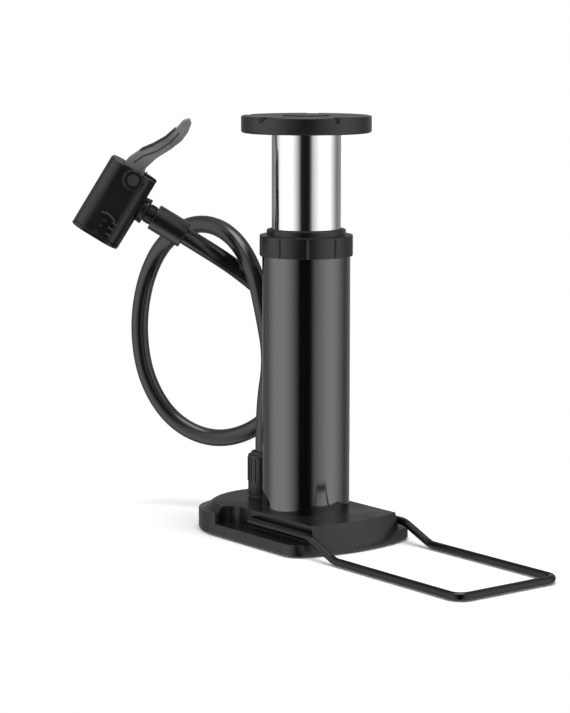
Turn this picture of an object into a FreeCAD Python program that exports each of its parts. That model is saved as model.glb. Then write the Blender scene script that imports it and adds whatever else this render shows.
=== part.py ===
import FreeCAD, Part
import math
import os
import Sketcher

# Foot air pump with an upright cylinder, a sprung step pad, a folding wire foot bar and a
# short hose that ends in a lever-locked valve head. Millimetres, +Z up.
# The origin is on the floor, on the cylinder's axis. +X points along the foot bar.

Vector = FreeCAD.Vector
doc = FreeCAD.newDocument("FootAirPump")

# ---------------------------------------------------------------- driving dimensions
sheet = doc.addObject("Spreadsheet::Sheet", "Sizes")
DIMENSIONS = [
    # base
    ("base_half_width", 39.0), ("base_rear_centre", -28.5), ("base_front_centre", -48.0),
    ("base_front_arc", 95.0), ("base_corner", 10.0), ("skirt_bottom", 0.8),
    ("ledge_top", 6.3), ("deck_top", 15.0), ("rear_rim_top", 9.3), ("channel_wall", 27.4),
    ("side_rim_top", 12.0), ("shoulder_rear", 26.5), ("shoulder_side", 33.5),
    ("rim_flat", 0.8), ("channel_end", -26.0), ("channel_fillet", 6.5), ("front_draft", 3.5),
    ("plate_bottom", 1.5), ("plate_top", 3.5), ("plate_inset", 2.2), ("sole_inset", 3.2),
    ("cavity_top", 11.5), ("cavity_half_width", 24.4), ("cavity_front", 36.0),
    ("cavity_rear_centre", -33.0), ("screw_hole", 1.5), ("screw_head", 3.3),
    # cylinder
    ("barrel_outer", 22.5), ("barrel_inner", 21.0), ("barrel_seat", 8.5),
    ("barrel_top", 151.0), ("gasket_top", 9.3), ("foot_top", 14.0), ("seat_top", 15.6),
    ("collar_bottom", 145.7), ("collar_top", 156.2), ("collar_outer", 23.8),
    ("lip_outer", 20.2), ("lip_top", 159.0), ("bush_outer", 19.2), ("bush_bottom", 143.8),
    ("ridge_count", 10), ("ridge_width", 1.2), ("ridge_height", 0.4),
    # moving plunger and step pad
    ("plunger_outer", 17.6), ("plunger_inner", 16.4), ("plunger_bottom", 131.0),
    ("slide_gap", 0.06), ("guide_top", 141.0), ("stop_top", 143.5), ("plug_bottom", 199.0),
    ("pad_bottom", 208.0), ("pad_top", 216.6), ("pad_outer", 33.1), ("recess_depth", 3.6),
    ("recess_outer", 23.0), ("cover_outer", 12.0), ("cover_top", 217.1), ("notch_depth", 3.0),
    ("notch_count", 5), ("notch_start", -9.0),
    # fixed piston
    ("tube_outer", 6.0), ("tube_inner", 2.0), ("tube_top", 131.0), ("nut_across", 9.0),
    ("piston_outer", 16.2), ("piston_top", 145.0), ("valve_bore", 3.2), ("valve_seat", 141.25),
    ("valve_hole", 1.8), ("ball_radius", 2.8), ("ball_centre", 139.0),
    # springs
    ("spring_wire", 0.9), ("spring_mean", 19.6), ("spring_turns", 12),
    # foot bar
    ("wire", 2.0), ("bar_pivot", -9.0), ("bar_pivot_height", 10.2), ("bar_half_width", 31.0),
    ("bar_front", 154.4), ("bar_bend_start", 42.5), ("bar_bend_end", 62.7),
    ("bar_end", 22.0), ("bush_radius", 3.2),
    # hose and its connector
    ("connector_place", -36.0), ("connector_outer", 8.5), ("connector_top", 39.0),
    ("hose", 4.65),
    # valve head, in its own upright frame
    ("head_half_width", 13.5), ("head_half_depth", 12.5), ("head_top", 40.5),
    ("head_corner", 8.5), ("head_cap", 2.0), ("pivot_across", 2.7), ("pivot_up", 36.0),
    ("boss", 5.1), ("pin", 2.0), ("lever_slot", 13.0), ("neck_up", 24.2), ("valve", 4.0),
    ("head_bore", 8.5),
]
for row, (word, number) in enumerate(DIMENSIONS, 1):
    sheet.set(f"A{row}", word)
    sheet.set(f"B{row}", str(number))
    sheet.setAlias(f"B{row}", word)
doc.recompute()


def size(word):
    return float(getattr(sheet, word))


def bind(item, sizes):
    # sizes: property name -> expression over the sheet's words
    for prop, formula in sizes.items():
        item.setExpression(prop, formula)
    return item


SUB_PARTS = []


def keep(item, label):
    item.Label = label
    SUB_PARTS.append(item)
    return item


# ---------------------------------------------------------------- primitives and booleans
def cylinder(name, radius, low, high, across="0", along="0"):
    item = doc.addObject("Part::Cylinder", name)
    return bind(item, {
        "Radius": radius, "Height": f"({high}) - ({low})",
        "Placement.Base.x": across, "Placement.Base.y": along, "Placement.Base.z": low})


def box(name, low, high):
    item = doc.addObject("Part::Box", name)
    for side, axis, a, b in zip(("Length", "Width", "Height"), "xyz", low, high):
        bind(item, {side: f"({b}) - ({a})", f"Placement.Base.{axis}": a})
    return item


def torus(name, mean, wire, height):
    item = doc.addObject("Part::Torus", name)
    return bind(item, {"Radius1": mean, "Radius2": wire, "Placement.Base.z": height})


def hexagon(name, across, low, high):
    item = doc.addObject("Part::Prism", name)
    item.Polygon = 6
    return bind(item, {
        "Circumradius": across, "Height": f"({high}) - ({low})", "Placement.Base.z": low})


def fuse(name, pieces):
    if len(pieces) == 1:
        return pieces[0]
    item = doc.addObject("Part::MultiFuse", name)
    item.Shapes = pieces
    item.Refine = True
    return item


def cut(name, solid, tools):
    item = doc.addObject("Part::Cut", name)
    item.Base = solid
    item.Tool = fuse(name + "_tools", tools)
    return item


def turned(label, solids, holes):
    # A round piece: stacked cylinders with stacked bores, each (radius, low, high).
    body = fuse(label + "_blank", [
        cylinder(f"{label}_body{n}", *step) for n, step in enumerate(solids)])
    if not holes:
        return keep(body, label)
    bores = [cylinder(f"{label}_bore{n}", *step) for n, step in enumerate(holes)]
    return keep(cut(label + "_cut", body, bores), label)


# ---------------------------------------------------------------- sketches
def origin_plane(body, role):
    return next(item for item in body.Origin.OriginFeatures if item.Role == role)


def new_sketch(body, name, role, height="0"):
    sketch = body.newObject("Sketcher::SketchObject", name)
    sketch.AttachmentSupport = [(origin_plane(body, role), "")]
    sketch.MapMode = "FlatFace"
    sketch.setExpression("AttachmentOffset.Base.z", height)
    return sketch


def draw_loop(sketch, pieces):
    # Adds a closed loop of lines and arcs and joins the end points that meet.
    first = sketch.GeometryCount
    for piece in pieces:
        sketch.addGeometry(piece, False)
    count = len(pieces)
    for n in range(count):
        here, there = first + n, first + (n + 1) % count
        pairs = [(a, b) for a in (1, 2) for b in (1, 2)]
        a, b = min(pairs, key=lambda ends: (
            sketch.getPoint(here, ends[0]) - sketch.getPoint(there, ends[1])).Length)
        sketch.addConstraint(Sketcher.Constraint("Coincident", here, a, there, b))


def draw_circle(sketch, across, along, formula):
    index = sketch.addGeometry(Part.Circle(Vector(across, along, 0), Vector(0, 0, 1), 1.0))
    name = sketch.addConstraint(Sketcher.Constraint("Radius", index, 1.0))
    sketch.setExpression(f"Constraints[{name}]", formula)


def line(start, end):
    return Part.LineSegment(Vector(*start, 0), Vector(*end, 0))


def arc(centre, radius, start_degrees, end_degrees):
    circle = Part.Circle(Vector(*centre, 0), Vector(0, 0, 1), radius)
    return Part.ArcOfCircle(circle, math.radians(start_degrees), math.radians(end_degrees))


def polygon(points):
    return [line(a, b) for a, b in zip(points, points[1:] + points[:1])]


def base_outline(inset):
    # D-shaped plan: half-round rear, straight sides, rounded corners, gently bowed front.
    half = size("base_half_width") - inset
    rear = size("base_rear_centre")
    front_centre = size("base_front_centre")
    front = size("base_front_arc") - inset
    corner = size("base_corner") - inset
    corner_y = half - corner
    corner_x = front_centre + math.sqrt((front - corner) ** 2 - corner_y ** 2)
    lean = math.degrees(math.atan2(corner_y, corner_x - front_centre))
    return [
        arc((rear, 0), half, 90, 270),
        line((rear, -half), (corner_x, -half)),
        arc((corner_x, -corner_y), corner, 270, 360 - lean),
        arc((front_centre, 0), front, -lean, lean),
        arc((corner_x, corner_y), corner, lean, 90),
        line((corner_x, half), (rear, half)),
    ]


def raised_outline():
    # Full-height part of the base: half-round rear, then two side channels for the foot bar.
    half = size("base_half_width")
    rear = size("base_rear_centre")
    wall = size("channel_wall")
    end = size("channel_end")
    fillet = size("channel_fillet")
    lip = 2.0
    centre = size("base_front_centre")
    front = size("base_front_arc")
    nose = 2.5
    nose_y = wall - nose
    nose_x = centre + math.sqrt((front - nose) ** 2 - nose_y ** 2)
    lean = math.degrees(math.atan2(nose_y, nose_x - centre))
    pieces = [arc((rear, 0), half, 90, 270)]
    pieces.append(line((rear, -half), (end - lip, -half)))
    pieces.append(arc((end - lip, -half + lip), lip, 270, 360))
    pieces.append(line((end, -half + lip), (end, -wall - fillet)))
    pieces.append(arc((end + fillet, -wall - fillet), fillet, 90, 180))
    pieces.append(line((end + fillet, -wall), (nose_x, -wall)))
    pieces.append(arc((nose_x, -nose_y), nose, 270, 360 - lean))
    pieces.append(arc((centre, 0), front, -lean, lean))
    pieces.append(arc((nose_x, nose_y), nose, lean, 90))
    pieces.append(line((nose_x, wall), (end + fillet, wall)))
    pieces.append(arc((end + fillet, wall + fillet), fillet, 180, 270))
    pieces.append(line((end, wall + fillet), (end, half - lip)))
    pieces.append(arc((end - lip, half - lip), lip, 0, 90))
    pieces.append(line((end - lip, half), (rear, half)))
    return pieces


def cavity_outline():
    half = size("cavity_half_width")
    rear = size("cavity_rear_centre")
    front = size("cavity_front")
    return [
        arc((rear, 0), half, 90, 270), line((rear, -half), (front, -half)),
        line((front, -half), (front, half)), line((front, half), (rear, half))]


def pad(body, name, sketch, length):
    feature = body.newObject("PartDesign::Pad", name)
    feature.Profile = sketch
    feature.setExpression("Length", length)
    doc.recompute()
    return feature


def pocket(body, name, sketch, length, upwards=False):
    # Cuts and then makes sure that material was really taken away.
    before = body.Shape.Volume
    feature = body.newObject("PartDesign::Pocket", name)
    feature.Profile = sketch
    feature.Reversed = upwards
    feature.setExpression("Length", length)
    doc.recompute()
    if body.Shape.Volume >= before:
        raise ValueError(name + " cuts nothing")
    return feature


def groove(body, name, sketch, axis_name, angle=360.0, middle=False):
    before = body.Shape.Volume
    feature = body.newObject("PartDesign::Groove", name)
    feature.Profile = sketch
    feature.ReferenceAxis = (sketch, [axis_name])
    feature.Angle = angle
    feature.Midplane = middle
    doc.recompute()
    if body.Shape.Volume >= before:
        raise ValueError(name + " cuts nothing")
    return feature


# ---------------------------------------------------------------- base
SCREW_PLACES = [(-52, 0), (-30, 30), (-30, -30), (32, 19), (32, -19)]


def shoulder_section(heading, fullness, forward):
    # A slice of the space above the rear shoulder, which falls in an S to the rim. It is
    # short and high at the sides and longer and lower towards the rear.
    half, deck = size("base_half_width"), size("deck_top")
    start = size("shoulder_side") + fullness * (size("shoulder_rear") - size("shoulder_side"))
    rim = size("side_rim_top") + fullness * (size("rear_rim_top") - size("side_rim_top"))
    outwards = Vector(math.cos(heading), math.sin(heading), 0)
    centre = Vector(size("base_rear_centre") + forward, 0, 0)
    foot = half - size("rim_flat")

    def at(radius, height):
        return centre + outwards * radius + Vector(0, 0, height)

    fall = Part.BSplineCurve()
    fall.interpolate(
        Points=[at(start, deck), at((start + foot) / 2, (deck + rim) / 2), at(foot, rim)],
        InitialTangent=outwards, FinalTangent=outwards)
    corners = [at(foot, rim), at(half + 3, rim), at(half + 3, deck + 3), at(start, deck + 3),
               at(start, deck)]
    sides = [Part.LineSegment(a, b).toShape() for a, b in zip(corners, corners[1:])]
    return Part.Wire([fall.toShape()] + sides)


def rear_shoulder():
    # The slices run round the half-round end and on past the channels' mouths.
    past = 7.0
    slices = [shoulder_section(math.radians(90), 0.0, past)]
    for degrees in range(90, 271, 15):
        heading = math.radians(degrees)
        slices.append(shoulder_section(heading, -math.cos(heading), 0.0))
    slices.append(shoulder_section(math.radians(270), 0.0, past))
    item = doc.addObject("Part::Feature", "ShoulderSpace")
    item.Shape = Part.makeLoft(slices, True, False)
    return item


def make_base_housing():
    body = doc.addObject("PartDesign::Body", "BaseHousing")
    sketch = new_sketch(body, "HousingFlange", "XY_Plane", "Sizes.skirt_bottom")
    draw_loop(sketch, base_outline(0))
    pad(body, "Flange", sketch, "Sizes.ledge_top - Sizes.skirt_bottom")
    sketch = new_sketch(body, "HousingRaised", "XY_Plane", "Sizes.skirt_bottom")
    draw_loop(sketch, raised_outline())
    pad(body, "Raised", sketch, "Sizes.deck_top - Sizes.skirt_bottom")

    # The front face leans back towards the deck.
    centre, front, deck = (size("base_front_centre"), size("base_front_arc"),
                           size("deck_top"))
    lean = new_sketch(body, "FrontSection", "XZ_Plane")
    tip, draft = centre + front, size("front_draft")
    draw_loop(lean, polygon([
        (tip + 0.01, size("ledge_top") - 3), (tip + 3, size("ledge_top") - 3),
        (tip + 3, deck + 2), (tip - draft, deck + 2), (tip - draft, deck)]))
    lean.addGeometry(line((centre, 0), (centre, 20)), True)
    groove(body, "FrontLean", lean, "Axis0", 90.0, True)

    # Underside: a recess for the plate and a hollow round the cylinder's seat.
    sketch = new_sketch(body, "PlateRecess", "XY_Plane", "Sizes.plate_top")
    draw_loop(sketch, base_outline(size("plate_inset") - 0.15))
    pocket(body, "PlateSeat", sketch, "Sizes.plate_top - Sizes.skirt_bottom + 1")
    sketch = new_sketch(body, "Hollow", "XY_Plane", "Sizes.cavity_top")
    draw_loop(sketch, cavity_outline())
    pocket(body, "Cavity", sketch, "Sizes.cavity_top - Sizes.plate_top")
    sketch = new_sketch(body, "SeatBoss", "XY_Plane", "Sizes.plate_top + 0.1")
    draw_circle(sketch, 0, 0, "Sizes.barrel_outer + 3.5")
    pad(body, "Boss", sketch, "Sizes.deck_top - Sizes.plate_top - 0.1")
    sketch = new_sketch(body, "SeatCircle", "XY_Plane", "Sizes.deck_top")
    draw_circle(sketch, 0, 0, "Sizes.barrel_outer + 0.05")
    pocket(body, "Seat", sketch, "Sizes.deck_top - Sizes.barrel_seat")
    sketch = new_sketch(body, "TubeHole", "XY_Plane", "Sizes.deck_top")
    draw_circle(sketch, 0, 0, "Sizes.tube_outer + 1.2")
    draw_circle(sketch, size("connector_place"), 0, "Sizes.tube_outer + 0.2")
    pocket(body, "Holes", sketch, "Sizes.deck_top")
    sketch = new_sketch(body, "DuctSlot", "XY_Plane", "Sizes.barrel_seat - 1.4")
    place = size("connector_place")
    draw_loop(sketch, polygon([(place - 7, -6), (8, -6), (8, 6), (place - 7, 6)]))
    pocket(body, "Duct", sketch, "Sizes.barrel_seat - Sizes.skirt_bottom")

    # Screw posts, their pilot holes, and the cross holes that carry the foot bar.
    sketch = new_sketch(body, "PostCircles", "XY_Plane", "Sizes.plate_top")
    for across, along in SCREW_PLACES:
        draw_circle(sketch, across, along, "Sizes.screw_hole + 2.4")
    pad(body, "Posts", sketch, "Sizes.cavity_top - Sizes.plate_top")
    sketch = new_sketch(body, "PilotCircles", "XY_Plane", "Sizes.plate_top + 4.5")
    for across, along in SCREW_PLACES:
        draw_circle(sketch, across, along, "Sizes.screw_hole")
    pocket(body, "Pilots", sketch, "5")
    for side in (1, -1):
        sketch = new_sketch(body, f"PivotCircle{side + 1}", "XZ_Plane",
                            f"{-side} * (Sizes.channel_wall + 1)")
        draw_circle(sketch, size("bar_pivot"), size("bar_pivot_height"), "Sizes.bush_radius")
        pocket(body, f"PivotHole{side + 1}", sketch, "8", upwards=side > 0)
    return keep(cut("housing_cut", body, [rear_shoulder()]), "base_housing")


def make_plate(label, inset, low, high, hole):
    body = doc.addObject("PartDesign::Body", label.title().replace("_", ""))
    sketch = new_sketch(body, label + "_plan", "XY_Plane", low)
    draw_loop(sketch, base_outline(inset))
    pad(body, label + "_sheet", sketch, f"{high} - ({low})")
    sketch = new_sketch(body, label + "_holes", "XY_Plane", high)
    for across, along in SCREW_PLACES:
        draw_circle(sketch, across, along, hole)
    pocket(body, label + "_drill", sketch, f"{high} - ({low})")
    return keep(body, label)


make_base_housing()
make_plate("base_plate", size("plate_inset"), "Sizes.plate_bottom", "Sizes.plate_top",
           "Sizes.screw_hole + 0.2")
make_plate("rubber_sole", size("sole_inset"), "0", "Sizes.plate_bottom - 0.02",
           "Sizes.screw_head + 0.3")

screws = []
for number, (across, along) in enumerate(SCREW_PLACES):
    shank = cylinder(f"screw_shank{number}", "Sizes.screw_hole - 0.05", "0.6",
                     "Sizes.plate_top + 4", str(across), str(along))
    head = cylinder(f"screw_head{number}", "Sizes.screw_head", "0.3",
                    "Sizes.plate_bottom - 0.02", str(across), str(along))
    screws.append(fuse(f"screw{number}", [shank, head]))
group = doc.addObject("Part::Compound", "ScrewSet")
group.Links = screws
keep(group, "base_screws")

# Flat duct under the deck: from the centre tube to the hose connector.
duct = fuse("duct_solid", [
    box("duct_bar", ("Sizes.connector_place - 6", "-5.7", "Sizes.plate_top + 0.1"),
        ("7", "5.7", "Sizes.barrel_seat - 1.7")),
    cylinder("duct_hub", "Sizes.tube_outer + 1", "Sizes.plate_top + 1", "Sizes.barrel_seat"),
    cylinder("duct_neck", "Sizes.tube_outer", "Sizes.plate_top + 1",
             "Sizes.deck_top - 0.1", "Sizes.connector_place")])
keep(cut("duct_cut", duct, [
    cylinder("duct_tube_hole", "Sizes.tube_outer", "Sizes.plate_top + 1.5",
             "Sizes.barrel_seat + 1"),
    box("duct_way", ("Sizes.connector_place - 2", "-2", "Sizes.plate_top + 0.9"),
        ("0", "2", "Sizes.barrel_seat - 2.4")),
    cylinder("duct_riser", "2.5", "Sizes.plate_top + 1.5", "Sizes.deck_top",
             "Sizes.connector_place")]), "air_manifold")

# ---------------------------------------------------------------- cylinder
turned("barrel_gasket", [("Sizes.barrel_outer - 0.1", "Sizes.barrel_seat", "Sizes.gasket_top")],
       [("Sizes.barrel_inner - 2", "Sizes.barrel_seat", "Sizes.gasket_top")])
turned("barrel", [("Sizes.barrel_outer", "Sizes.gasket_top", "Sizes.barrel_top")],
       [("Sizes.barrel_inner", "Sizes.gasket_top", "Sizes.barrel_top")])
turned("barrel_foot", [("Sizes.barrel_inner", "Sizes.gasket_top", "Sizes.foot_top")],
       [("Sizes.tube_outer", "Sizes.gasket_top", "Sizes.foot_top")])
turned("spring_seat", [("Sizes.barrel_inner - 0.2", "Sizes.foot_top", "Sizes.seat_top")],
       [("Sizes.nut_across + 1", "Sizes.foot_top", "Sizes.seat_top")])


def make_collar():
    # Screw-on end ring: a ribbed skirt, an inward web and a low lip round the guide bush.
    body = doc.addObject("PartDesign::Body", "TopCollar")
    sketch = new_sketch(body, "CollarCircle", "XY_Plane", "Sizes.collar_bottom")
    draw_circle(sketch, 0, 0, "Sizes.collar_outer")
    pad(body, "CollarDisc", sketch, "Sizes.collar_top - Sizes.collar_bottom")
    rib = new_sketch(body, "RidgeSection", "XY_Plane", "Sizes.collar_bottom")
    outer = size("collar_outer")
    half = size("ridge_width") / 2
    draw_loop(rib, polygon([
        (outer - 1, -half), (outer + size("ridge_height"), -half / 2),
        (outer + size("ridge_height"), half / 2), (outer - 1, half)]))
    ridge = pad(body, "Ridge", rib, "Sizes.collar_top - Sizes.collar_bottom - 0.6")
    pattern = body.newObject("PartDesign::PolarPattern", "Ridges")
    pattern.Originals = [ridge]
    pattern.Axis = (rib, ["N_Axis"])
    pattern.Angle = 360.0
    pattern.setExpression("Occurrences", "Sizes.ridge_count")
    body.Tip = pattern
    doc.recompute()
    sketch = new_sketch(body, "LipCircle", "XY_Plane", "Sizes.collar_top - 1")
    draw_circle(sketch, 0, 0, "Sizes.lip_outer")
    pad(body, "Lip", sketch, "Sizes.lip_top - Sizes.collar_top + 1")
    sketch = new_sketch(body, "SkirtCircle", "XY_Plane", "Sizes.barrel_top")
    draw_circle(sketch, 0, 0, "Sizes.barrel_outer")
    pocket(body, "SkirtBore", sketch, "Sizes.barrel_top - Sizes.collar_bottom + 1")
    sketch = new_sketch(body, "BushCircle", "XY_Plane", "Sizes.lip_top")
    draw_circle(sketch, 0, 0, "Sizes.bush_outer")
    pocket(body, "BushBore", sketch, "Sizes.lip_top - Sizes.collar_bottom")
    return keep(body, "top_collar")


make_collar()
turned("guide_bush", [
    ("Sizes.barrel_inner - 0.1", "Sizes.bush_bottom", "Sizes.barrel_top"),
    ("Sizes.bush_outer", "Sizes.bush_bottom", "Sizes.collar_top + 0.8")],
    [("Sizes.plunger_outer + Sizes.slide_gap", "Sizes.bush_bottom", "Sizes.lip_top")])
turned("wiper_seal", [
    ("Sizes.bush_outer - 0.05", "Sizes.collar_top + 0.8", "Sizes.lip_top - 0.2"),
    ("Sizes.bush_outer - 0.9", "Sizes.lip_top - 0.3", "Sizes.lip_top + 0.5")],
    [("Sizes.plunger_outer + 0.03", "Sizes.collar_top", "Sizes.lip_top + 1")])

# ---------------------------------------------------------------- fixed piston and its valve
turned("center_tube", [("Sizes.tube_outer", "Sizes.plate_top + 1.5", "Sizes.tube_top")],
       [("Sizes.tube_inner", "Sizes.plate_top + 1.5", "Sizes.tube_top")])
keep(cut("nut_cut", hexagon("nut_blank", "Sizes.nut_across", "Sizes.foot_top",
                            "Sizes.foot_top + 5"),
         [cylinder("nut_thread", "Sizes.tube_outer", "Sizes.foot_top",
                   "Sizes.foot_top + 5")]), "center_tube_nut")
turned("piston_head", [
    ("Sizes.piston_outer", "Sizes.piston_top - 11", "Sizes.piston_top - 9"),
    ("Sizes.piston_outer - 2.2", "Sizes.piston_top - 9", "Sizes.piston_top - 3"),
    ("Sizes.piston_outer", "Sizes.piston_top - 3", "Sizes.piston_top"),
    ("9", "Sizes.tube_top - 8", "Sizes.piston_top - 11")],
    [("Sizes.tube_outer", "Sizes.tube_top - 8", "Sizes.tube_top"),
     ("Sizes.valve_bore", "Sizes.tube_top", "Sizes.valve_seat"),
     ("Sizes.valve_hole", "Sizes.valve_seat", "Sizes.piston_top")])
turned("piston_cup_seal", [
    ("Sizes.plunger_inner - Sizes.slide_gap", "Sizes.piston_top - 8.9",
     "Sizes.piston_top - 3.1")],
    [("Sizes.piston_outer - 2.2", "Sizes.piston_top - 9", "Sizes.piston_top - 3")])
keep(cut("cap_nut_cut", hexagon("cap_nut_blank", "6.5", "Sizes.piston_top",
                                "Sizes.piston_top + 2.5"),
         [cylinder("cap_nut_hole", "Sizes.valve_hole", "Sizes.piston_top",
                   "Sizes.piston_top + 2.5")]), "piston_nut")
ball = doc.addObject("Part::Sphere", "Ball")
bind(ball, {"Radius": "Sizes.ball_radius", "Placement.Base.z": "Sizes.ball_centre"})
keep(ball, "check_ball")


def coil(label, mean, wire, low, high, turns):
    # Open-ended compression spring: a round section swept along a helix.
    rise = high - low - 2 * wire
    helix = Part.makeHelix(rise / turns, rise, mean)
    start = Vector(mean, 0, 0)
    along = Vector(0, 2 * math.pi * mean, rise / turns)
    section = Part.Wire([Part.makeCircle(wire, start, along)])
    item = doc.addObject("Part::Feature", label)
    item.Shape = Part.Wire(helix.Edges).makePipeShell([section], True, True)
    item.Placement = FreeCAD.Placement(Vector(0, 0, low + wire), FreeCAD.Rotation())
    return keep(item, label)


coil("check_spring", 2.35, 0.22, size("tube_top") + 0.05,
     size("ball_centre") - size("ball_radius"), 6)
coil("return_spring", size("spring_mean"), size("spring_wire"), size("seat_top") + 0.05,
     size("plunger_bottom") - 0.05, int(size("spring_turns")))

# ---------------------------------------------------------------- plunger and step pad
turned("plunger_tube", [("Sizes.plunger_outer", "Sizes.plunger_bottom",
                         "Sizes.pad_bottom + Sizes.recess_depth")],
       [("Sizes.plunger_inner", "Sizes.plunger_bottom",
         "Sizes.pad_bottom + Sizes.recess_depth")])
turned("plunger_guide_ring", [("Sizes.barrel_inner - Sizes.slide_gap", "Sizes.plunger_bottom",
                               "Sizes.guide_top")],
       [("Sizes.plunger_outer", "Sizes.plunger_bottom", "Sizes.guide_top")])
turned("stop_bumper", [("Sizes.barrel_inner - 0.4", "Sizes.guide_top", "Sizes.stop_top")],
       [("Sizes.plunger_outer", "Sizes.guide_top", "Sizes.stop_top")])
plug = cylinder("plug_solid", "Sizes.plunger_inner", "Sizes.plug_bottom",
                "Sizes.pad_bottom + Sizes.recess_depth")
groove_tool = cut("plug_groove", cylinder("groove_outside", "Sizes.plunger_inner + 1",
                                          "Sizes.plug_bottom + 3", "Sizes.plug_bottom + 5.2"),
                  [cylinder("groove_inside", "Sizes.plunger_inner - 2.15",
                            "Sizes.plug_bottom + 3", "Sizes.plug_bottom + 5.2")])
keep(cut("plug_cut", plug, [groove_tool, cylinder(
    "plug_thread", "3", "Sizes.plug_bottom + 2.5", "Sizes.pad_bottom + 4")]), "pad_plug")
keep(torus("ring_solid", "Sizes.plunger_inner - 1.07", "1.05", "Sizes.plug_bottom + 4.1"),
     "plug_o_ring")


def make_step_pad():
    # Thick disc with a rolled rim, a recess below for the collar and a seat for the cover.
    body = doc.addObject("PartDesign::Body", "StepPad")
    low, high, outer = size("pad_bottom"), size("pad_top"), size("pad_outer")
    profile = new_sketch(body, "PadSection", "XZ_Plane")
    low_round, high_round = 1.2, 0.8
    draw_loop(profile, [
        line((0, low), (outer - low_round, low)),
        arc((outer - low_round, low + low_round), low_round, 270, 360),
        line((outer, low + low_round), (outer, high - high_round)),
        arc((outer - high_round, high - high_round), high_round, 0, 90),
        line((outer - high_round, high), (0, high)), line((0, high), (0, low))])
    disc = body.newObject("PartDesign::Revolution", "Disc")
    disc.Profile = profile
    disc.ReferenceAxis = (profile, ["V_Axis"])
    disc.Angle = 360.0
    doc.recompute()
    sketch = new_sketch(body, "RecessCircle", "XY_Plane", "Sizes.pad_bottom")
    draw_circle(sketch, 0, 0, "Sizes.recess_outer")
    pocket(body, "Recess", sketch, "Sizes.recess_depth", upwards=True)
    sketch = new_sketch(body, "CoverCircle", "XY_Plane", "Sizes.pad_top")
    draw_circle(sketch, 0, 0, "Sizes.cover_outer")
    pocket(body, "CoverSeat", sketch, "1.2")
    sketch = new_sketch(body, "HeadCircle", "XY_Plane", "Sizes.pad_top")
    draw_circle(sketch, 0, 0, "6.2")
    pocket(body, "HeadSeat", sketch, "3")
    sketch = new_sketch(body, "ShankCircle", "XY_Plane", "Sizes.pad_top")
    draw_circle(sketch, 0, 0, "3.1")
    pocket(body, "ShankHole", sketch, "20")
    # Five notches in the rim's top edge, one side steep and one side a long slope.
    vee = new_sketch(body, "NotchSection", "YZ_Plane", "Sizes.pad_outer + 1")
    depth = size("notch_depth")
    draw_loop(vee, polygon([(-2.6, high + 0.5), (-1.1, high - depth), (0.3, high - depth),
                            (4.2, high + 0.5)]))
    notch = pocket(body, "Notch", vee, "6")
    pattern = body.newObject("PartDesign::PolarPattern", "Notches")
    pattern.Originals = [notch]
    pattern.Axis = (profile, ["V_Axis"])
    pattern.Angle = 360.0
    pattern.setExpression("Occurrences", "Sizes.notch_count")
    body.Tip = pattern
    bind(body, {"Placement.Rotation.Angle": "Sizes.notch_start"})
    doc.recompute()
    return keep(body, "step_pad")


make_step_pad()
turned("pad_cover", [("Sizes.cover_outer - 0.05", "Sizes.pad_top - 1.2", "Sizes.cover_top")], [])
turned("pad_screw", [("3", "Sizes.plug_bottom + 3", "Sizes.pad_top - 2.9"),
                     ("6", "Sizes.pad_top - 3", "Sizes.pad_top - 1.3")],
       [("2", "Sizes.pad_top - 2.4", "Sizes.pad_top")])


# ---------------------------------------------------------------- wire foot bar
def rounded_path(points, radii):
    # Straight runs joined by arcs tangent to both; one radius for each inner point.
    pieces = []
    here = points[0]
    for before, corner, after, radius in zip(points, points[1:], points[2:], radii):
        inward = (corner - before).normalize()
        outward = (after - corner).normalize()
        half_turn = inward.getAngle(outward) / 2
        reach = radius * math.tan(half_turn)
        start = corner - inward * reach
        end = corner + outward * reach
        middle = corner + (outward - inward).normalize() * (radius / math.cos(half_turn) - radius)
        if (start - here).Length > 0.01:
            pieces.append(Part.LineSegment(here, start).toShape())
        pieces.append(Part.Arc(start, middle, end).toShape())
        here = end
    pieces.append(Part.LineSegment(here, points[-1]).toShape())
    return Part.Wire(pieces)


def swept_rod(label, path, radius, start, along):
    section = Part.Wire([Part.makeCircle(radius, start, along)])
    item = doc.addObject("Part::Feature", label)
    item.Shape = path.makePipeShell([section], True, False)
    return keep(item, label)


pivot_x, pivot_z = size("bar_pivot"), size("bar_pivot_height")
side_y, front_x, floor_z = size("bar_half_width"), size("bar_front"), size("wire")
half_bar = [(pivot_x, size("bar_end"), pivot_z), (pivot_x, side_y, pivot_z),
            (size("bar_bend_start"), side_y, pivot_z), (size("bar_bend_end"), side_y, floor_z),
            (front_x, side_y, floor_z)]
bar_points = [Vector(*point) for point in half_bar]
bar_points += [Vector(x, -y, z) for x, y, z in reversed(half_bar)]
corner_radius, front_radius, bend_radius = 3.0, 6.0, 14.0
bar_radii = [corner_radius, bend_radius, bend_radius, front_radius]
bar_path = rounded_path(bar_points, bar_radii + bar_radii[::-1])
swept_rod("foot_bar", bar_path, size("wire"), bar_points[0], Vector(0, 1, 0))


def sideways_ring(name, outer, inner, low, high, side):
    # A ring on the foot bar's pivot axis, between two distances from the middle plane.
    turn = FreeCAD.Rotation(Vector(1, 0, 0), -90 * side)
    pieces = []
    for part_name, radius in ((name + "_out", outer), (name + "_in", inner)):
        piece = doc.addObject("Part::Cylinder", part_name)
        bind(piece, {"Radius": radius, "Height": f"({high}) - ({low})"})
        piece.Placement = FreeCAD.Placement(Vector(pivot_x, 0, pivot_z), turn)
        bind(piece, {"Placement.Base.y": f"{side} * ({low})"})
        pieces.append(piece)
    return cut(name, pieces[0], [pieces[1]])


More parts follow.
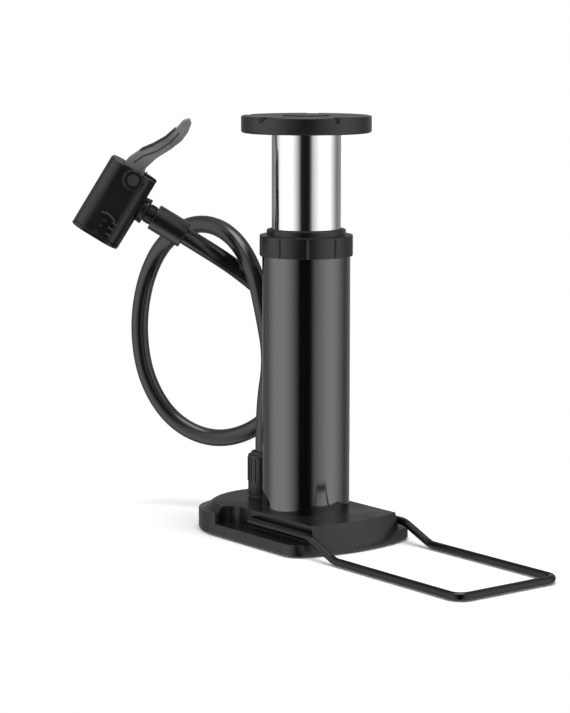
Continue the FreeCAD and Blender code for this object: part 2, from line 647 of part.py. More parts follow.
bushes, retainers = [], []
for side in (1, -1):
    tag = "far" if side > 0 else "near"
    bushes.append(sideways_ring(f"bush_{tag}", "Sizes.bush_radius - 0.02",
                                "Sizes.wire + Sizes.slide_gap", "Sizes.cavity_half_width - 0.2",
                                "Sizes.channel_wall - 0.1", side))
    retainers.append(sideways_ring(f"retainer_{tag}", "Sizes.bush_radius - 0.15", "Sizes.wire",
                                   "Sizes.bar_end + 0.4", "Sizes.bar_end + 1.4", side))
for label, pieces in (("foot_bar_bushes", bushes), ("foot_bar_retainers", retainers)):
    group = doc.addObject("Part::Compound", label + "_pair")
    group.Links = pieces
    keep(group, label)

# ---------------------------------------------------------------- hose connector
connector = cut("connector_cut", fuse("connector_solid", [
    cylinder("connector_body", "Sizes.connector_outer", "Sizes.deck_top + 1",
             "Sizes.connector_top - 1.5", "Sizes.connector_place"),
    cylinder("connector_nose", "Sizes.connector_outer - 1.6", "Sizes.connector_top - 2",
             "Sizes.connector_top", "Sizes.connector_place")]),
    [cylinder("connector_way", "2.5", "Sizes.deck_top", "Sizes.connector_top",
              "Sizes.connector_place")])
keep(connector, "hose_connector")
keep(cut("connector_seal_cut", cylinder("seal_disc", "Sizes.connector_outer - 0.4",
                                        "Sizes.deck_top", "Sizes.deck_top + 1",
                                        "Sizes.connector_place"),
         [cylinder("seal_hole", "2.5", "Sizes.deck_top", "Sizes.deck_top + 1",
                   "Sizes.connector_place")]), "connector_seal")

# ---------------------------------------------------------------- valve head
# The head is drawn upright: its mouth at the origin facing down, its neck along +X.
# It is then leaned over and turned to where the hose holds it.
HEAD_PLACE = FreeCAD.Placement(
    Vector(-87.4, -71.2, 153.6),
    FreeCAD.Rotation(Vector(0, 0, 1), 52.0).multiply(FreeCAD.Rotation(Vector(0, 1, 0), 31.5)))


def on_head(item, label):
    # Wraps a finished upright piece so that the whole of it takes the head's placement.
    group = doc.addObject("Part::Compound", label + "_placed")
    group.Links = [item]
    group.Placement = HEAD_PLACE
    return keep(group, label)


def neck_cylinder(name, radius, low, high, end_radius=None):
    kind = "Part::Cylinder" if end_radius is None else "Part::Cone"
    item = doc.addObject(kind, name)
    if end_radius is None:
        bind(item, {"Radius": radius})
    else:
        bind(item, {"Radius1": radius, "Radius2": end_radius})
    bind(item, {"Height": f"({high}) - ({low})"})
    item.Placement = FreeCAD.Placement(Vector(), FreeCAD.Rotation(Vector(0, 1, 0), 90))
    bind(item, {"Placement.Base.x": low, "Placement.Base.z": "Sizes.neck_up"})
    return item


def cross_cylinder(name, radius, low, high):
    item = doc.addObject("Part::Cylinder", name)
    bind(item, {"Radius": radius, "Height": f"({high}) - ({low})"})
    item.Placement = FreeCAD.Placement(Vector(), FreeCAD.Rotation(Vector(1, 0, 0), -90))
    bind(item, {"Placement.Base.x": "Sizes.pivot_across", "Placement.Base.y": low,
                "Placement.Base.z": "Sizes.pivot_up"})
    return item


def head_plan(half_width, half_depth, corner):
    x, y = half_width - corner, half_depth - corner
    return [
        line((-x, -half_depth), (x, -half_depth)), arc((x, -y), corner, 270, 360),
        line((half_width, -y), (half_width, y)), arc((x, y), corner, 0, 90),
        line((x, half_depth), (-x, half_depth)), arc((-x, y), corner, 90, 180),
        line((-half_width, y), (-half_width, -y)), arc((-x, -y), corner, 180, 270)]


def make_head_shell():
    body = doc.addObject("PartDesign::Body", "HeadShell")
    half_width, half_depth = size("head_half_width"), size("head_half_depth")
    sketch = new_sketch(body, "ShellPlan", "XY_Plane", "Sizes.head_cap")
    draw_loop(sketch, head_plan(half_width, half_depth, size("head_corner")))
    pad(body, "ShellBlock", sketch, "Sizes.head_top - Sizes.head_cap")
    sketch = new_sketch(body, "BoreCircle", "XY_Plane", "Sizes.head_cap")
    draw_circle(sketch, 0, 0, "Sizes.head_bore")
    pocket(body, "Bore", sketch, "Sizes.neck_up + 4", upwards=True)
    # The lever's slot is open at the top and on the neck side.
    sketch = new_sketch(body, "SlotPlan", "XY_Plane", "Sizes.head_top")
    half_slot = size("lever_slot") / 2
    draw_loop(sketch, polygon([(-6.5, -half_slot), (half_width + 1, -half_slot),
                               (half_width + 1, half_slot), (-6.5, half_slot)]))
    pocket(body, "LeverSlot", sketch, "Sizes.head_top - Sizes.pivot_up + 6.2")
    return body


shell = fuse("shell_solid", [
    make_head_shell(),
    cross_cylinder("boss_near", "Sizes.boss", "-Sizes.head_half_depth - 0.8",
                   "-Sizes.lever_slot / 2"),
    cross_cylinder("boss_far", "Sizes.boss", "Sizes.lever_slot / 2",
                   "Sizes.head_half_depth + 0.8"),
    neck_cylinder("neck_flare", "6.2", "Sizes.head_bore + 2", "Sizes.head_half_width + 3.2",
                  "7.1")])
on_head(cut("shell_cut", shell, [
    cross_cylinder("pin_hole", "Sizes.pin", "-20", "20"),
    neck_cylinder("neck_way", "2.2", "Sizes.head_bore - 2", "Sizes.head_half_width + 5"),
    neck_cylinder("neck_socket", "4.2", "Sizes.head_half_width + 0.5",
                  "Sizes.head_half_width + 5")]), "head_shell")


def make_head_cap():
    body = doc.addObject("PartDesign::Body", "HeadCap")
    sketch = new_sketch(body, "CapPlan", "XY_Plane")
    draw_loop(sketch, head_plan(size("head_half_width"), size("head_half_depth"),
                                size("head_corner")))
    pad(body, "CapDisc", sketch, "Sizes.head_cap")
    sketch = new_sketch(body, "CapSpigot", "XY_Plane", "Sizes.head_cap")
    draw_circle(sketch, 0, 0, "Sizes.head_bore - 0.05")
    pad(body, "Spigot", sketch, "1.5")
    sketch = new_sketch(body, "CapCircle", "XY_Plane")
    draw_circle(sketch, 0, 0, "Sizes.valve + 0.8")
    pocket(body, "CapHole", sketch, "Sizes.head_cap + 2", upwards=True)
    return body


on_head(make_head_cap(), "head_cap")
GASKET_LOW, GASKET_HIGH = "Sizes.head_cap + 1.5", "Sizes.head_cap + 10"
on_head(cut("gasket_cut", cylinder("gasket_solid", "Sizes.head_bore - 0.15", GASKET_LOW,
                                   GASKET_HIGH),
            [cylinder("gasket_hole", "Sizes.valve", GASKET_LOW, GASKET_HIGH)]),
        "valve_gasket")
# The pusher squeezes the gasket; 1.3 mm is left below it for its stroke.
PUSHER_LOW = "Sizes.head_cap + 11.4"
on_head(cut("pusher_cut", fuse("pusher_solid", [
    cylinder("pusher_skirt", "Sizes.head_bore - 0.08", PUSHER_LOW, "Sizes.pivot_up - 6.3"),
    cylinder("pusher_nose", "4.5", "Sizes.neck_up + 3", "Sizes.pivot_up - 5.2")]),
            [cylinder("pusher_hollow", "5", PUSHER_LOW, "Sizes.neck_up + 1.5"),
             box("pusher_port", ("0", "-2.6", PUSHER_LOW), ("12", "2.6", "Sizes.neck_up + 2.6"))]),
        "gasket_pusher")
on_head(fuse("depressor_solid", [
    cylinder("depressor_pin", "1.1", PUSHER_LOW, "Sizes.neck_up + 1.5"),
    cylinder("depressor_disc", "4.9", "Sizes.neck_up - 0.5", "Sizes.neck_up + 1.5")]),
    "valve_depressor")


def make_lever():
    # Thumb lever: an off-centre hub that cams on the pusher and an S-curved blade.
    body = doc.addObject("PartDesign::Body", "LeverBlade")
    sketch = new_sketch(body, "BladeSide", "XZ_Plane", "-(Sizes.lever_slot / 2 - 0.4)")
    blade = [(-4.6, 38.2), (-6.2, 41.0), (-5.6, 44.6), (-3.0, 50.4), (1.6, 56.2), (5.2, 62.6),
             (7.2, 69.0), (8.4, 75.0), (10.6, 77.4), (12.8, 75.4), (13.7, 70.5), (13.2, 65.2),
             (10.9, 59.2), (6.9, 51.2), (4.6, 43.3), (5.6, 38.2)]
    draw_loop(sketch, polygon(blade))
    pad(body, "Blade", sketch, "Sizes.lever_slot - 0.8")
    return body


lean = math.radians(65.0)
hub = doc.addObject("Part::Cylinder", "lever_hub")
bind(hub, {"Radius": "4.0", "Height": "Sizes.lever_slot - 0.8"})
hub.Placement = FreeCAD.Placement(Vector(), FreeCAD.Rotation(Vector(1, 0, 0), -90))
bind(hub, {"Placement.Base.x": f"Sizes.pivot_across + 1.9 * {math.sin(lean):.4f}",
           "Placement.Base.y": "-(Sizes.lever_slot / 2 - 0.4)",
           "Placement.Base.z": f"Sizes.pivot_up - 1.9 * {math.cos(lean):.4f}"})
lever = cut("lever_cut", fuse("lever_solid", [make_lever(), hub]), [
    cross_cylinder("lever_bore", "Sizes.pin + Sizes.slide_gap", "-20", "20")])
on_head(lever, "head_lever")
pin_reach = "Sizes.head_half_depth + 0.8"
on_head(fuse("pin_solid", [
    cross_cylinder("pin_shaft", "Sizes.pin", f"-({pin_reach})", pin_reach),
    cross_cylinder("pin_head_near", "3.0", f"-({pin_reach}) - 0.5", f"-({pin_reach})"),
    cross_cylinder("pin_head_far", "3.0", pin_reach, f"{pin_reach} + 0.5")]), "lever_pin")
on_head(cut("nut_ring_cut", fuse("nut_ring_solid", [
    neck_cylinder("nut_ring_body", "4.8", "Sizes.head_half_width + 3.2",
                  "Sizes.head_half_width + 7.8"),
    neck_cylinder("nut_ring_thread", "4.15", "Sizes.head_half_width + 0.7",
                  "Sizes.head_half_width + 3.3")]),
    [neck_cylinder("nut_ring_way", "2.2", "Sizes.head_half_width",
                   "Sizes.head_half_width + 9")]), "hose_end_nut")
on_head(cut("sleeve_cut", neck_cylinder("sleeve_solid", "7.0", "Sizes.head_half_width + 7.8",
                                        "Sizes.head_half_width + 26.5"),
            [neck_cylinder("sleeve_bore", "Sizes.hose", "Sizes.head_half_width + 7",
                           "Sizes.head_half_width + 28")]), "hose_sleeve")

# ---------------------------------------------------------------- hose
# Up from the connector, over to the left, round a hanging loop behind the cylinder and
# back up through the sleeve into the head's neck.
neck_end = HEAD_PLACE.multVec(Vector(size("head_half_width") + 7.8, 0, size("neck_up")))
sleeve_lead = HEAD_PLACE.multVec(Vector(size("head_half_width") + 36.0, 0, size("neck_up")))
HOSE_POINTS = [Vector(*point) for point in (
    (-36.0, 0.0, 39.0), (-36.0, 0.0, 62.0), (-34.0, 3.5, 87.5), (-30.5, -4.0, 112.5),
    (-39.0, -4.5, 137.0), (-59.5, -5.0, 154.0), (-86.5, -7.0, 157.5), (-112.0, -10.5, 146.0),
    (-127.0, -13.5, 123.5), (-128.5, -17.5, 95.5), (-128.0, -12.5, 66.0),
    (-114.0, -4.0, 43.5), (-92.0, 8.5, 35.0), (-69.5, 21.0, 43.5), (-53.0, 27.5, 63.5),
    (-44.0, 27.0, 88.5), (-47.0, 19.0, 114.0), (-54.5, -1.5, 133.0))] + [sleeve_lead, neck_end]


def hose_radii(points):
    radii = []
    for before, corner, after in zip(points, points[1:], points[2:]):
        first, second = corner - before, after - corner
        half_turn = first.getAngle(second) / 2
        radii.append(0.45 * min(first.Length, second.Length) / math.tan(half_turn))
    return radii


radii = hose_radii(HOSE_POINTS)
hose_path = rounded_path(HOSE_POINTS, radii)
hose = swept_rod("hose", hose_path, size("hose"), HOSE_POINTS[0], HOSE_POINTS[1] - HOSE_POINTS[0])
for point, radius in zip(HOSE_POINTS[1:], radii):
    print(f"hose turn at {tuple(round(v, 1) for v in point)}: radius {radius:.1f} mm")
expected = math.pi * size("hose") ** 2 * hose_path.Length
print(f"hose length {hose_path.Length:.1f} mm, volume {hose.Shape.Volume:.0f} of {expected:.0f}")
if abs(hose.Shape.Volume - expected) > 0.01 * expected:
    raise ValueError("the hose's volume isn't its section times its length")

# ---------------------------------------------------------------- checks and export
doc.recompute()
for item in doc.Objects:
    if "Invalid" in item.State or "Error" in item.State:
        raise ValueError(item.Name + " failed to build")
for item in SUB_PARTS:
    if item.Shape.isNull() or not item.Shape.isValid():
        raise ValueError(item.Label + " has no valid shape")

os.makedirs("parts", exist_ok=True)
for item in SUB_PARTS:
    item.Shape.exportStep(f"parts/{item.Label}.step")
print(f"{len(SUB_PARTS)} sub-parts written")
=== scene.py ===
import bmesh
import bpy
import math
from mathutils import Matrix, Vector


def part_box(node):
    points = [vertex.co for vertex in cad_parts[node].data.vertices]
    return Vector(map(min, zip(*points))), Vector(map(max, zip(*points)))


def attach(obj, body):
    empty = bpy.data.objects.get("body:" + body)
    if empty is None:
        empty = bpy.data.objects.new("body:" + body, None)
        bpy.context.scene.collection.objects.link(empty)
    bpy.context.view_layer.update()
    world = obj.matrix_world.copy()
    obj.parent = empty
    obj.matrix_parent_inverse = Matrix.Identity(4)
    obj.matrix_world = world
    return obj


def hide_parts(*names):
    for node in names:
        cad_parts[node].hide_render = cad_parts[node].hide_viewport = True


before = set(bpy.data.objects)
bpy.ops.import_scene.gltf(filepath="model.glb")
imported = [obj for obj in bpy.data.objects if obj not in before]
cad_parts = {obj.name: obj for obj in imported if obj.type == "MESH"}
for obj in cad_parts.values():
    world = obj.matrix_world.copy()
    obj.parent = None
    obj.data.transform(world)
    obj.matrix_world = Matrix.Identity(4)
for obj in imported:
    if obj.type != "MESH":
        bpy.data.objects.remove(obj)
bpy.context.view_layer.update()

# ------------------------------------------------------------------ studio
# A white sweep with a large soft panel on each side of the stand, a dark gap towards
# the viewer between them, and a soft light overhead.
VIEWER_HEADING = math.radians(-37.7)
LENS_DROP = 0.144
LENS_TURN = math.radians(52.61)
LENS_PLACE = (0.9487, -0.7387, 0.2678)
FOCAL_LENGTH, FILM_WIDTH = 119.6, 36.0
camera_data = bpy.data.cameras.new("camera")
camera_data.lens = FOCAL_LENGTH
camera_data.sensor_width = FILM_WIDTH
camera = bpy.data.objects.new("camera", camera_data)
camera.location = LENS_PLACE
camera.rotation_euler = (math.pi / 2 - LENS_DROP, 0.0, LENS_TURN)
bpy.context.scene.collection.objects.link(camera)
bpy.context.scene.camera = camera
bpy.context.scene.view_settings.view_transform = "Standard"


def join(tree, source, target):
    tree.links.new(source, target)


def node(tree, kind, **settings):
    made = tree.nodes.new(kind)
    for word, setting in settings.items():
        setattr(made, word, setting)
    return made


def ramp(tree, stops, smooth="EASE"):
    # A colour ramp from (place, brightness or colour) pairs.
    made = node(tree, "ShaderNodeValToRGB")
    made.color_ramp.interpolation = smooth
    points = made.color_ramp.elements
    while len(points) < len(stops):
        points.new(0.5)
    for point, (place, tone) in zip(points, stops):
        point.position = place
        rgb = tone if isinstance(tone, tuple) else (tone, tone, tone)
        point.color = (*rgb, 1.0)
    return made


# Brightness round the horizon, by heading from the viewer in degrees.
PANELS = [(-180, 0.30), (-146, 0.26), (-120, 0.40), (-106, 0.95), (-90, 1.60), (-60, 1.85),
          (-45, 1.40), (-31, 0.75), (-22, 0.25), (-17, 0.02), (0, 0.01), (10, 0.02),
          (16, 0.25), (21, 0.70), (35, 1.20), (49, 1.60), (64, 1.90), (80, 1.70),
          (98, 0.95), (110, 0.50), (121, 0.26), (160, 0.40), (180, 0.30)]
# The sine of the height where the overhead light starts and where it takes over.
OVERHEAD_FROM, OVERHEAD_FULL = 0.55, 0.95
OVERHEAD_TONE = (0.7, 0.7, 0.72, 1)
world = bpy.data.worlds.new("studio")
world.use_nodes = True
sky = world.node_tree
ray = node(sky, "ShaderNodeTexCoord")
turn = node(sky, "ShaderNodeMapping")
turn.inputs["Rotation"].default_value = (0, 0, -VIEWER_HEADING)
join(sky, ray.outputs["Generated"], turn.inputs["Vector"])
axes = node(sky, "ShaderNodeSeparateXYZ")
join(sky, turn.outputs["Vector"], axes.inputs["Vector"])
heading = node(sky, "ShaderNodeMath", operation="ARCTAN2")
join(sky, axes.outputs["Y"], heading.inputs[0])
join(sky, axes.outputs["X"], heading.inputs[1])
place = node(sky, "ShaderNodeMapRange")
place.inputs["From Min"].default_value = -math.pi
place.inputs["From Max"].default_value = math.pi
join(sky, heading.outputs[0], place.inputs["Value"])
panels = ramp(sky, [((angle + 180) / 360, tone) for angle, tone in PANELS], "LINEAR")
join(sky, place.outputs["Result"], panels.inputs["Fac"])
lift = node(sky, "ShaderNodeMapRange", interpolation_type="SMOOTHSTEP")
lift.inputs["From Min"].default_value = OVERHEAD_FROM
lift.inputs["From Max"].default_value = OVERHEAD_FULL
join(sky, axes.outputs["Z"], lift.inputs["Value"])
overhead = node(sky, "ShaderNodeMix", data_type="RGBA")
overhead.inputs["B"].default_value = OVERHEAD_TONE
join(sky, lift.outputs["Result"], overhead.inputs["Factor"])
join(sky, panels.outputs["Color"], overhead.inputs["A"])
seen = node(sky, "ShaderNodeLightPath")
sweep = node(sky, "ShaderNodeMix", data_type="RGBA")
sweep.inputs["B"].default_value = (1, 1, 1, 1)
join(sky, seen.outputs["Is Camera Ray"], sweep.inputs["Factor"])
join(sky, overhead.outputs["Result"], sweep.inputs["A"])
join(sky, sweep.outputs["Result"], sky.nodes["Background"].inputs["Color"])
bpy.context.scene.world = world

LAMP_WIDTH, LAMP_POWER, LAMP_PLACE = 1.2, 20.0, (0.1, -0.1, 1.6)
lamp = bpy.data.lights.new("overhead_panel", "AREA")
lamp.shape = "DISK"
lamp.size = LAMP_WIDTH
lamp.energy = LAMP_POWER
overhead_panel = bpy.data.objects.new("overhead_panel", lamp)
overhead_panel.location = LAMP_PLACE
bpy.context.scene.collection.objects.link(overhead_panel)

# ------------------------------------------------------------------ floor
# The pale matt board that the pump stands on. Its top lies a hair under the sole, and
# it is kept out of mirror reflections so that the cylinder shows the panels only.
BOARD_RADIUS = 0.26
BOARD_PLACE = (0.02, 0.0, -0.0004)
BOARD_COLOUR, BOARD_ROUGHNESS = (0.95, 0.95, 0.95, 1), 0.8
shape = bmesh.new()
bmesh.ops.create_circle(shape, cap_ends=True, segments=128, radius=BOARD_RADIUS)
bmesh.ops.translate(shape, vec=BOARD_PLACE, verts=shape.verts)
board_mesh = bpy.data.meshes.new("floor_board")
shape.to_mesh(board_mesh)
shape.free()
floor_board = bpy.data.objects.new("floor_board", board_mesh)
bpy.context.scene.collection.objects.link(floor_board)
board_paint = bpy.data.materials.new("floor_board")
board_paint.use_nodes = True
board_shader = board_paint.node_tree.nodes["Principled BSDF"]
board_shader.inputs["Base Color"].default_value = BOARD_COLOUR
board_shader.inputs["Roughness"].default_value = BOARD_ROUGHNESS
board_mesh.materials.append(board_paint)
floor_board.visible_glossy = False

# ------------------------------------------------------------------ hose
# Extruded rubber hose, 9.3 mm across. It rises from its connector beside the cylinder,
# hangs in one loop behind it and comes back up into the valve head's neck.
HOSE_RADIUS = 0.00465
HOSE_ROUTE = [
    (-0.036, 0.0, 0.039), (-0.036, 0.0, 0.062), (-0.034, 0.0035, 0.0875),
    (-0.0305, -0.004, 0.1125), (-0.039, -0.0045, 0.137), (-0.0595, -0.005, 0.154),
    (-0.0865, -0.007, 0.1575), (-0.112, -0.0105, 0.146), (-0.127, -0.0135, 0.1235),
    (-0.1285, -0.0175, 0.0955), (-0.128, -0.0125, 0.066), (-0.114, -0.004, 0.0435),
    (-0.092, 0.0085, 0.035), (-0.0695, 0.021, 0.0435), (-0.053, 0.0275, 0.0635),
    (-0.044, 0.027, 0.0885), (-0.047, 0.019, 0.114), (-0.0545, -0.0015, 0.133),
    (-0.05363, -0.02804, 0.14837), (-0.06843, -0.04699, 0.16310)]
hose_curve = bpy.data.curves.new("hose_tube", "CURVE")
hose_curve.dimensions = "3D"
hose_curve.bevel_depth = HOSE_RADIUS
hose_curve.bevel_resolution = 9
hose_curve.resolution_u = 14
hose_curve.use_fill_caps = True
spline = hose_curve.splines.new("NURBS")
spline.points.add(len(HOSE_ROUTE) - 1)
for point, spot in zip(spline.points, HOSE_ROUTE):
    point.co = (*spot, 1.0)
spline.order_u = 3
spline.use_endpoint_u = True
hose_tube = bpy.data.objects.new("hose_tube", hose_curve)
bpy.context.scene.collection.objects.link(hose_tube)


def finish(name, colour, rough, metallic=0.0, ior=1.5, grain=2400.0, relief=0.00001,
           patch=40.0, spread=0.18, rough_spread=0.08, worn=None, edge=0.0005):
    """A surface finish: colour that drifts in soft patches, roughness that follows it,
    a fine grain in relief and, where worn is a colour, edges rubbed to that colour."""
    made = bpy.data.materials.new(name)
    made.use_nodes = True
    tree = made.node_tree
    shader = tree.nodes["Principled BSDF"]
    shader.inputs["Metallic"].default_value = metallic
    shader.inputs["IOR"].default_value = ior
    coords = node(tree, "ShaderNodeTexCoord")
    drift = node(tree, "ShaderNodeTexNoise")
    drift.inputs["Scale"].default_value = patch
    drift.inputs["Detail"].default_value = 5.0
    join(tree, coords.outputs["Object"], drift.inputs["Vector"])
    low = tuple(c * (1 - spread) for c in colour)
    high = tuple(min(1.0, c * (1 + spread)) for c in colour)
    tint = ramp(tree, [(0.3, low), (0.7, high)])
    join(tree, drift.outputs["Fac"], tint.inputs["Fac"])
    dull = node(tree, "ShaderNodeMapRange")
    dull.inputs["From Min"].default_value = 0.3
    dull.inputs["From Max"].default_value = 0.7
    dull.inputs["To Min"].default_value = max(0.02, rough - rough_spread)
    dull.inputs["To Max"].default_value = min(1.0, rough + rough_spread)
    join(tree, drift.outputs["Fac"], dull.inputs["Value"])
    join(tree, dull.outputs["Result"], shader.inputs["Roughness"])
    pits = node(tree, "ShaderNodeTexNoise")
    pits.inputs["Scale"].default_value = grain
    pits.inputs["Detail"].default_value = 3.0
    join(tree, coords.outputs["Object"], pits.inputs["Vector"])
    bump = node(tree, "ShaderNodeBump")
    bump.inputs["Strength"].default_value = 0.5
    bump.inputs["Distance"].default_value = relief
    join(tree, pits.outputs["Fac"], bump.inputs["Height"])
    join(tree, bump.outputs["Normal"], shader.inputs["Normal"])
    if worn is None:
        join(tree, tint.outputs["Color"], shader.inputs["Base Color"])
        return made
    rounded = node(tree, "ShaderNodeBevel", samples=4)
    rounded.inputs["Radius"].default_value = edge
    facing = node(tree, "ShaderNodeNewGeometry")
    match = node(tree, "ShaderNodeVectorMath", operation="DOT_PRODUCT")
    join(tree, rounded.outputs["Normal"], match.inputs[0])
    join(tree, facing.outputs["Normal"], match.inputs[1])
    rubbed = node(tree, "ShaderNodeMapRange")
    rubbed.inputs["From Min"].default_value = 0.97
    rubbed.inputs["From Max"].default_value = 0.80
    join(tree, match.outputs["Value"], rubbed.inputs["Value"])
    scuffs = node(tree, "ShaderNodeMath", operation="MULTIPLY")
    join(tree, rubbed.outputs["Result"], scuffs.inputs[0])
    join(tree, drift.outputs["Fac"], scuffs.inputs[1])
    blend = node(tree, "ShaderNodeMix", data_type="RGBA")
    blend.inputs["B"].default_value = (*worn, 1)
    join(tree, scuffs.outputs[0], blend.inputs["Factor"])
    join(tree, tint.outputs["Color"], blend.inputs["A"])
    join(tree, blend.outputs["Result"], shader.inputs["Base Color"])
    return made


def dress(material, *names):
    # Gives CAD pieces whose shape is right their finish.
    for name in names:
        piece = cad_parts[name]
        for socket in piece.material_slots:
            socket.material = material


hose_rubber = finish("hose_rubber", (0.006, 0.006, 0.007), 0.24, grain=900.0,
                     relief=0.000006, patch=60.0, ior=1.5, rough_spread=0.03)
hose_curve.materials.append(hose_rubber)
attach(hose_tube, "pump_base")
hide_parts("hose")

# ------------------------------------------------------------------ floor plate and sole
# A pressed zinc-plated steel plate closes the base from below. A moulded rubber sheet
# with a ribbed tread is glued on, and five screws hold the lot to the housing.
zinc = finish("zinc_plate", (0.55, 0.56, 0.58), 0.32, metallic=1.0, grain=600.0,
              relief=0.00002, patch=90.0, spread=0.15)
screw_steel = finish("screw_steel", (0.5, 0.5, 0.5), 0.28, metallic=1.0, grain=1500.0,
                     patch=300.0, worn=(0.7, 0.7, 0.7))
dress(zinc, "base_plate", "spring_seat")
dress(screw_steel, "base_screws", "center_tube_nut", "piston_nut", "pad_screw")
sole_rubber = finish("sole_rubber", (0.03, 0.03, 0.031), 0.72, grain=1100.0,
                     relief=0.00008, patch=70.0, spread=0.25)
TREAD_WAVES, TREAD_DEPTH = 78.5, 0.0005
tread_tree = sole_rubber.node_tree
tread_coords = node(tread_tree, "ShaderNodeTexCoord")
tread = node(tread_tree, "ShaderNodeTexWave", wave_type="BANDS", bands_direction="X")
tread.inputs["Scale"].default_value = TREAD_WAVES
join(tread_tree, tread_coords.outputs["Object"], tread.inputs["Vector"])
tread_bump = node(tread_tree, "ShaderNodeBump")
tread_bump.inputs["Distance"].default_value = TREAD_DEPTH
sole_shader = tread_tree.nodes["Principled BSDF"]
join(tread_tree, tread.outputs["Fac"], tread_bump.inputs["Height"])
join(tread_tree, sole_shader.inputs["Normal"].links[0].from_socket, tread_bump.inputs["Normal"])
join(tread_tree, tread_bump.outputs["Normal"], sole_shader.inputs["Normal"])
dress(sole_rubber, "rubber_sole")
WELD_GAP, FLAT_WITHIN = 0.000002, math.radians(0.6)


def merged_copy(source, name):
    """A new piece with a CAD piece's shape, its loose triangles welded and its flat
    faces made whole, ready for its edges to be rounded."""
    work = bmesh.new()
    work.from_mesh(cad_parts[source].data)
    bmesh.ops.remove_doubles(work, verts=work.verts, dist=WELD_GAP)
    bmesh.ops.dissolve_limit(work, angle_limit=FLAT_WITHIN, verts=work.verts,
                             edges=work.edges)
    mesh = bpy.data.meshes.new(name)
    work.to_mesh(mesh)
    work.free()
    made = bpy.data.objects.new(name, mesh)
    bpy.context.scene.collection.objects.link(made)
    return made


def ease_edges(piece, width, from_angle=32.0, segments=3):
    # Rounds a moulding's edges as its tool does.
    rounding = piece.modifiers.new("eased_edges", "BEVEL")
    rounding.width = width
    rounding.segments = segments
    rounding.limit_method = "ANGLE"
    rounding.angle_limit = math.radians(from_angle)
    rounding.use_clamp_overlap = False
    rounding.harden_normals = True
    flats = piece.modifiers.new("flat_faces", "WEIGHTED_NORMAL")
    flats.keep_sharp = True
    for face in piece.data.polygons:
        face.use_smooth = True


def moulding(source, name, body, material, width, from_angle=32.0):
    # The CAD piece with eased edges, standing for it on the same body.
    made = merged_copy(source, name)
    made.data.materials.clear()
    made.data.materials.append(material)
    ease_edges(made, width, from_angle)
    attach(made, body)
    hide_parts(source)
    return made


# ------------------------------------------------------------------ base housing
# One injection moulding in black glass-filled nylon with a satin grain: a D-shaped tray
# upside down, stepped down at both sides for the foot bar. It takes the cylinder's seat.
black_nylon = finish("black_nylon", (0.006, 0.006, 0.0076), 0.3, grain=2600.0,
                     relief=0.00001, patch=55.0, ior=1.4, worn=(0.03, 0.03, 0.033))
base_moulding = moulding("base_housing", "base_moulding", "pump_base", black_nylon,
                         0.0006)
base_moulding.modifiers["eased_edges"].use_clamp_overlap = True
dress(black_nylon, "foot_bar_bushes")

# ------------------------------------------------------------------ air duct and cylinder foot
# Natural nylon mouldings inside the base and at the cylinder's foot. They carry the air
# from the centre tube to the hose and hold the tube upright.
natural_nylon = finish("natural_nylon", (0.62, 0.61, 0.56), 0.5, grain=1800.0, patch=60.0,
                       spread=0.06)
dress(natural_nylon, "air_manifold", "barrel_foot", "piston_head", "guide_bush",
      "plunger_guide_ring", "pad_plug", "gasket_pusher")
seal_rubber = finish("seal_rubber", (0.028, 0.028, 0.03), 0.5, grain=1500.0, patch=120.0)
dress(seal_rubber, "barrel_gasket", "piston_cup_seal", "wiper_seal", "stop_bumper",
      "plug_o_ring", "connector_seal", "valve_gasket")

# ------------------------------------------------------------------ cylinder
# Drawn aluminium tube, 45 mm across, anodised a deep gloss black. Drawing leaves faint
# lines along it.
anodised = finish("black_anodised", (0.0024, 0.0022, 0.002), 0.07, ior=1.85, grain=260.0,
                  relief=0.000001, patch=18.0, rough_spread=0.02)
dress(anodised, "barrel")

# ------------------------------------------------------------------ springs, tube and valve
# The return spring and the valve's spring and ball are oiled spring steel. The centre
# tube and the bar's retainers are ground steel, and the depressor is turned brass.
spring_steel = finish("spring_steel", (0.42, 0.42, 0.43), 0.3, metallic=1.0, grain=900.0,
                      patch=200.0)
dress(spring_steel, "return_spring", "check_spring", "check_ball")
tube_steel = finish("ground_tube", (0.6, 0.6, 0.61), 0.22, metallic=1.0, grain=800.0,
                    patch=60.0)
dress(tube_steel, "center_tube", "foot_bar_retainers")
brass = finish("turned_brass", (0.72, 0.52, 0.24), 0.28, metallic=1.0, grain=1200.0,
               patch=150.0, worn=(0.85, 0.7, 0.4))
dress(brass, "valve_depressor")

# ------------------------------------------------------------------ end collar
# Screw-on end ring moulded in black nylon, with low grip ridges round its skirt and a
# lip round the bush.
moulding("top_collar", "end_collar", "pump_base", black_nylon, 0.0003)

# ------------------------------------------------------------------ plunger tube
# Thin steel tube, polished and bright chromium plated. It slides through the collar's
# bush with the step pad plugged into its top.
chrome = finish("bright_chrome", (0.68, 0.69, 0.71), 0.07, metallic=1.0, grain=300.0,
                relief=0.000002, patch=22.0, spread=0.04, rough_spread=0.025)
dress(chrome, "plunger_tube")

# ------------------------------------------------------------------ step pad
# Thick black nylon disc, moulded with five notches in its rim, and a pressed cover of
# the same nylon over the screw that holds it to the plug.
moulding("step_pad", "step_pad_moulding", "plunger", black_nylon, 0.0003)
moulding("pad_cover", "pad_cover_disc", "plunger", black_nylon, 0.00025)

# ------------------------------------------------------------------ foot bar
# One length of 4 mm steel wire bent to a frame and coated in gloss black. Its turned-in
# ends pivot in bushes in the side channels.
wire_coat = finish("wire_coat", (0.003, 0.003, 0.0036), 0.12, ior=1.36, grain=700.0,
                   relief=0.00001, patch=80.0, rough_spread=0.04)
dress(wire_coat, "foot_bar")

